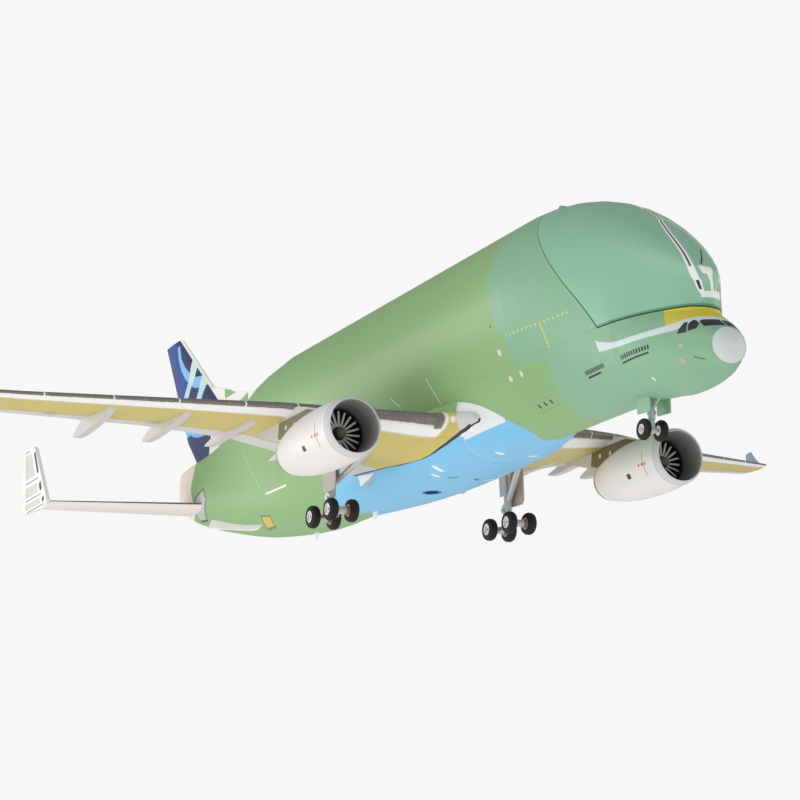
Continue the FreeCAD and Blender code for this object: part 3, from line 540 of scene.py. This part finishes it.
def paint_fin():
    """Royal blue and navy with a sky crescent, two slanting stripes and a white leading edge."""
    p = Paint("fin_paint", srgb(26, 66, 150), rough=0.6, coat=0.0)
    x, z = p.x, p.z
    trail = x - FIN_TRAIL_TOP_X - (FIN_TOP_Z - z) * FIN_TRAIL_LEAN
    lead = FIN_LEAD_TOP_X + (FIN_TOP_Z - z) * FIN_LEAD_LEAN - x
    low = z - lerp_curve(x, CRESCENT_LOW, smooth=False)
    high = z - lerp_curve(x, CRESCENT_HIGH, smooth=False)
    p.over(high.both(x + 148.5).cover(0.15), DEEP_NAVY)
    p.over((-low).both(x + 138.5).cover(0.2), DEEP_NAVY)
    p.over((4.5 - trail).cover(1.2), srgb(52, 72, 130))
    p.over(low.both(-high).cover(0.15), srgb(128, 184, 228))
    band = z - lerp_curve(x, [(-138, 60.6), (-131.5, 58.4), (-124, 57.6)])
    p.over((3.0 - (band - 3.0).size()).cover(0.2), SKY)
    p.over((-band).cover(0.2) * 0.8, srgb(24, 36, 92))
    p.over((1.5 - lead).cover(0.1), WHITE)
    for points in FIN_STRIPES:
        middle = lerp_curve(z, sorted((b, a) for a, b in points), smooth=False)
        stripe = (2.5 - (x - middle).size()).both(lead - 1.4).both(z - 66)
        p.over(stripe.cover(0.1), MINT)
        p.over(stripe.both(-low).cover(0.3) * 0.5, srgb(150, 200, 232))
    dorsal = (x + 115.4 - (z - 66.8) * 0.4).both(z - 50)
    p.over(dorsal.cover(0.1), WHITE)
    patch = poly(x, z, [(-110.2, 69.2), (-108.0, 68.9), (-101.6, 66.2), (-110.0, 66.1)])
    patch = patch.either(poly(x, z, [(-99.5, 62.6), (-93.0, 64.2), (-92.6, 61.6), (-98.0, 61.6)]))
    p.over(patch.cover(0.1), srgb(132, 178, 108))
    return p.finish()


def paint_tailplane():
    """Off-white with a dark leading edge and an elevator line."""
    p = Paint("tailplane_paint", srgb(232, 226, 218))
    side = p.side
    lead = lerp_curve(side, [(2, -101.5), (49, -136.5)], smooth=False)
    down = facing_down(p)
    p.over((0.9 - (lead - p.x)).both(0.3 - down).cover(0.1), srgb(96, 92, 90))
    trail = lerp_curve(side, [(2, -126.5), (49, -149.0)], smooth=False)
    p.groove(p.x - trail - 6.5, 0.14, 0.3)
    return p.finish()


def paint_tip_fin():
    """White, with grey panels and black blocks between level rails, and a pale green rear edge."""
    p = Paint("tip_fin_paint", srgb(240, 238, 235))
    x, z = p.x, p.z
    blocks = [((-147.3, 53.2), (-144.3, 45.9), 1.5), ((-142.7, 42.6), (-141.6, 39.9), 1.9),
              ((-140.1, 37.4), (-139.5, 36.0), 1.9)]
    for a, b, width in blocks:
        front = b[0] - 2.6 + (a[0] - b[0]) / (a[1] - b[1]) * (z - b[1])
        run = (z - b[1] + 0.3).both(a[1] + 0.3 - z)
        p.over(run.both(front - x).cover(0.1), srgb(208, 206, 204))
        p.over(run.both(-154.0 - x).cover(0.1), srgb(176, 208, 178))
        p.over(run.both(-155.5 - x).cover(0.1), WHITE)
        p.over(stroke(x, z, a, b, width).cover(0.06), srgb(12, 12, 14))
    for start, end, level in [(-151.7, -155.9, 54.5), (-144.2, -155.6, 44.3), (-141.9, -155.7, 38.7),
                              (-139.2, -154.6, 34.95)]:
        p.over(stroke(x, z, (start, level), (end, level), 0.32).cover(0.06), srgb(72, 72, 72))
    return p.finish()


# ---- dress the carried-over parts ---------------------------------------------------------
def dress(node, material):
    """Gives a part that material alone."""
    slots = NODES[node].data.materials
    slots.clear()
    slots.append(material)


def dress_all():
    hull = paint_hull()
    wing = paint_wing()
    tailplane = paint_tailplane()
    tip = paint_tip_fin()
    grey = plain("grey_trim", srgb(198, 192, 188))
    gear = plain("gear_grey", srgb(188, 190, 192), rough=0.32, metallic=0.3)
    tyre = plain("tyre_rubber", srgb(4, 4, 4), rough=0.75, coat=0.0, grain=0.06, bump=0.1)
    hub = plain("wheel_hub", srgb(214, 208, 203), rough=0.4, metallic=0.1)
    axle = plain("axle_steel", srgb(150, 150, 152), rough=0.3, metallic=0.9)
    brake = plain("brake_bronze", srgb(150, 122, 88), rough=0.45, metallic=0.3)
    gear_door = plain("gear_door_grey", srgb(178, 168, 162), rough=0.5)
    white = plain("trim_white", srgb(232, 230, 226))
    black = plain("core_black", srgb(14, 14, 14), rough=0.7, coat=0.0)
    steel = plain("hinge_steel", srgb(150, 150, 150), rough=0.3, metallic=0.9)
    hinge = plain("hinge_teal", TEAL, rough=0.4)
    deck = plain("deck_grey", srgb(140, 142, 138), rough=0.6)
    table = {
        "fuselage_upper": hull, "fuselage_lower": hull, "fuselage_tail": hull,
        "cargo_door": paint_door(),
        "cargo_floor": deck, "door_hinge_bracket": hinge, "door_hinge_lugs": hinge,
        # The stand socket is the belly's blue paint, darkened as painted shade of the hole.
        "door_hinge_pin": steel, "stand_socket": plain("socket_blue_and_painted_shade", srgb(20, 96, 150)),
        "belly_fairing": paint_belly(), "ventral_strakes": white, "antennas": white,
        "tail_fin": paint_fin(), "nose_gear_doors": plain("door_green", TEAL),
    }
    for name, side in SIDES:
        table["wing_" + name] = wing
        table["flap_fairings_" + name] = grey
        table["nacelle_" + name] = paint_nacelle(side)
        table["engine_core_" + name] = black
        table["fan_" + name] = paint_fan(side)
        table["pylon_" + name] = paint_pylon(side)
        table["tailplane_" + name] = tailplane
        table["tip_fin_" + name] = tip
        table["main_gear_door_" + name] = gear_door
        table["brake_discs_" + name] = brake
    for node in NODES:
        if node in table:
            dress(node, table[node])
        elif "tyres" in node:
            dress(node, tyre)
        elif "hubs" in node:
            dress(node, hub)
        elif "axle" in node:
            dress(node, axle)
        else:
            dress(node, gear)


# ---- camera, stage and light --------------------------------------------------------------
AMBIENT = 0.36
KEY_WATTS = 3.6
FRONT_WATTS = 1.1
UNDER_WATTS = 0.6
FLOOR_GLOW = 0.3
PORT_WATTS = 1.9
REAR_WATTS = 2.6
FLOOR_REACH = 4.0
FLOOR_Z = -0.36
CAMERA_AT = (580.53, -312.26, -128.0)
AZIMUTH = math.radians(61.569)
ELEVATION = math.radians(-14.240)
ROLL = math.radians(-1.993)
LENS = 111.78855
SENSOR = 36.0


def make_camera():
    """The camera that matches the reference view."""
    data = bpy.data.cameras.new("photo_camera")
    data.sensor_width = SENSOR
    data.lens = LENS
    data.clip_start = 0.01
    data.clip_end = 20.0
    camera = bpy.data.objects.new("photo_camera", data)
    bpy.context.scene.collection.objects.link(camera)
    back = Vector((math.sin(AZIMUTH) * math.cos(ELEVATION), -math.cos(AZIMUTH) * math.cos(ELEVATION),
                   math.sin(ELEVATION)))
    right = (-back).cross(Vector((0, 0, 1))).normalized()
    up = right.cross(-back)
    tilted = math.cos(ROLL) * right + math.sin(ROLL) * up
    upright = -math.sin(ROLL) * right + math.cos(ROLL) * up
    turn = Matrix((tilted, upright, back)).transposed()
    camera.matrix_world = Matrix.Translation(Vector(CAMERA_AT) * MM) @ turn.to_4x4()
    bpy.context.scene.camera = camera


def make_stage():
    """A pale floor well below the part."""
    mesh = bpy.data.meshes.new("studio_floor")
    r, z = FLOOR_REACH, FLOOR_Z
    mesh.from_pydata([(-r, -r, z), (r, -r, z), (r, r, z), (-r, r, z)], [], [(0, 1, 2, 3)])
    floor = bpy.data.objects.new("studio_floor", mesh)
    bpy.context.scene.collection.objects.link(floor)
    pale = plain("floor_pale", BACKDROP, rough=0.8, coat=0.0)
    shader = pale.node_tree.nodes["Principled BSDF"]
    shader.inputs["Emission Color"].default_value = (*BACKDROP, 1)
    shader.inputs["Emission Strength"].default_value = FLOOR_GLOW
    mesh.materials.append(pale)
    bpy.context.scene.view_settings.view_transform = "Standard"


def make_world():
    """A pale backdrop that lights the part more softly than it looks."""
    world = bpy.data.worlds.new("studio")
    bpy.context.scene.world = world
    world.use_nodes = True
    nodes, links = world.node_tree.nodes, world.node_tree.links
    shade = nodes["Background"]
    shade.inputs["Color"].default_value = (*srgb(247, 247, 247), 1)
    path = nodes.new("ShaderNodeLightPath")
    level = nodes.new("ShaderNodeMapRange")
    level.inputs["To Min"].default_value = AMBIENT
    level.inputs["To Max"].default_value = 1.0
    links.new(path.outputs["Is Camera Ray"], level.inputs["Value"])
    links.new(level.outputs["Result"], shade.inputs["Strength"])


def area_light(name, where, aim, size, power):
    data = bpy.data.lights.new(name, "AREA")
    data.size = size
    data.energy = power
    lamp = bpy.data.objects.new(name, data)
    bpy.context.scene.collection.objects.link(lamp)
    lamp.location = where
    lamp.rotation_euler = (Vector(aim) - Vector(where)).to_track_quat("-Z", "Y").to_euler()


# name, place, aim, size, watts
LIGHTS = [
    ("key", (0.35, -0.8, 0.75), (0, 0, 0.04), 0.7, KEY_WATTS),
    ("front", (0.85, -0.25, -0.1), (0.05, 0, 0.03), 0.6, FRONT_WATTS),
    ("under", (0.1, -0.3, -0.33), (0.03, 0, 0.02), 0.5, UNDER_WATTS),
    ("port", (0.3, 0.8, 0.2), (0.03, 0, 0.03), 0.6, PORT_WATTS),
    ("rear", (-0.6, -0.55, 0.05), (-0.08, 0, 0.04), 0.5, REAR_WATTS),
]


def make_lights():
    for light in LIGHTS:
        area_light(*light)


dress_all()
make_camera()
make_stage()
make_world()
make_lights()
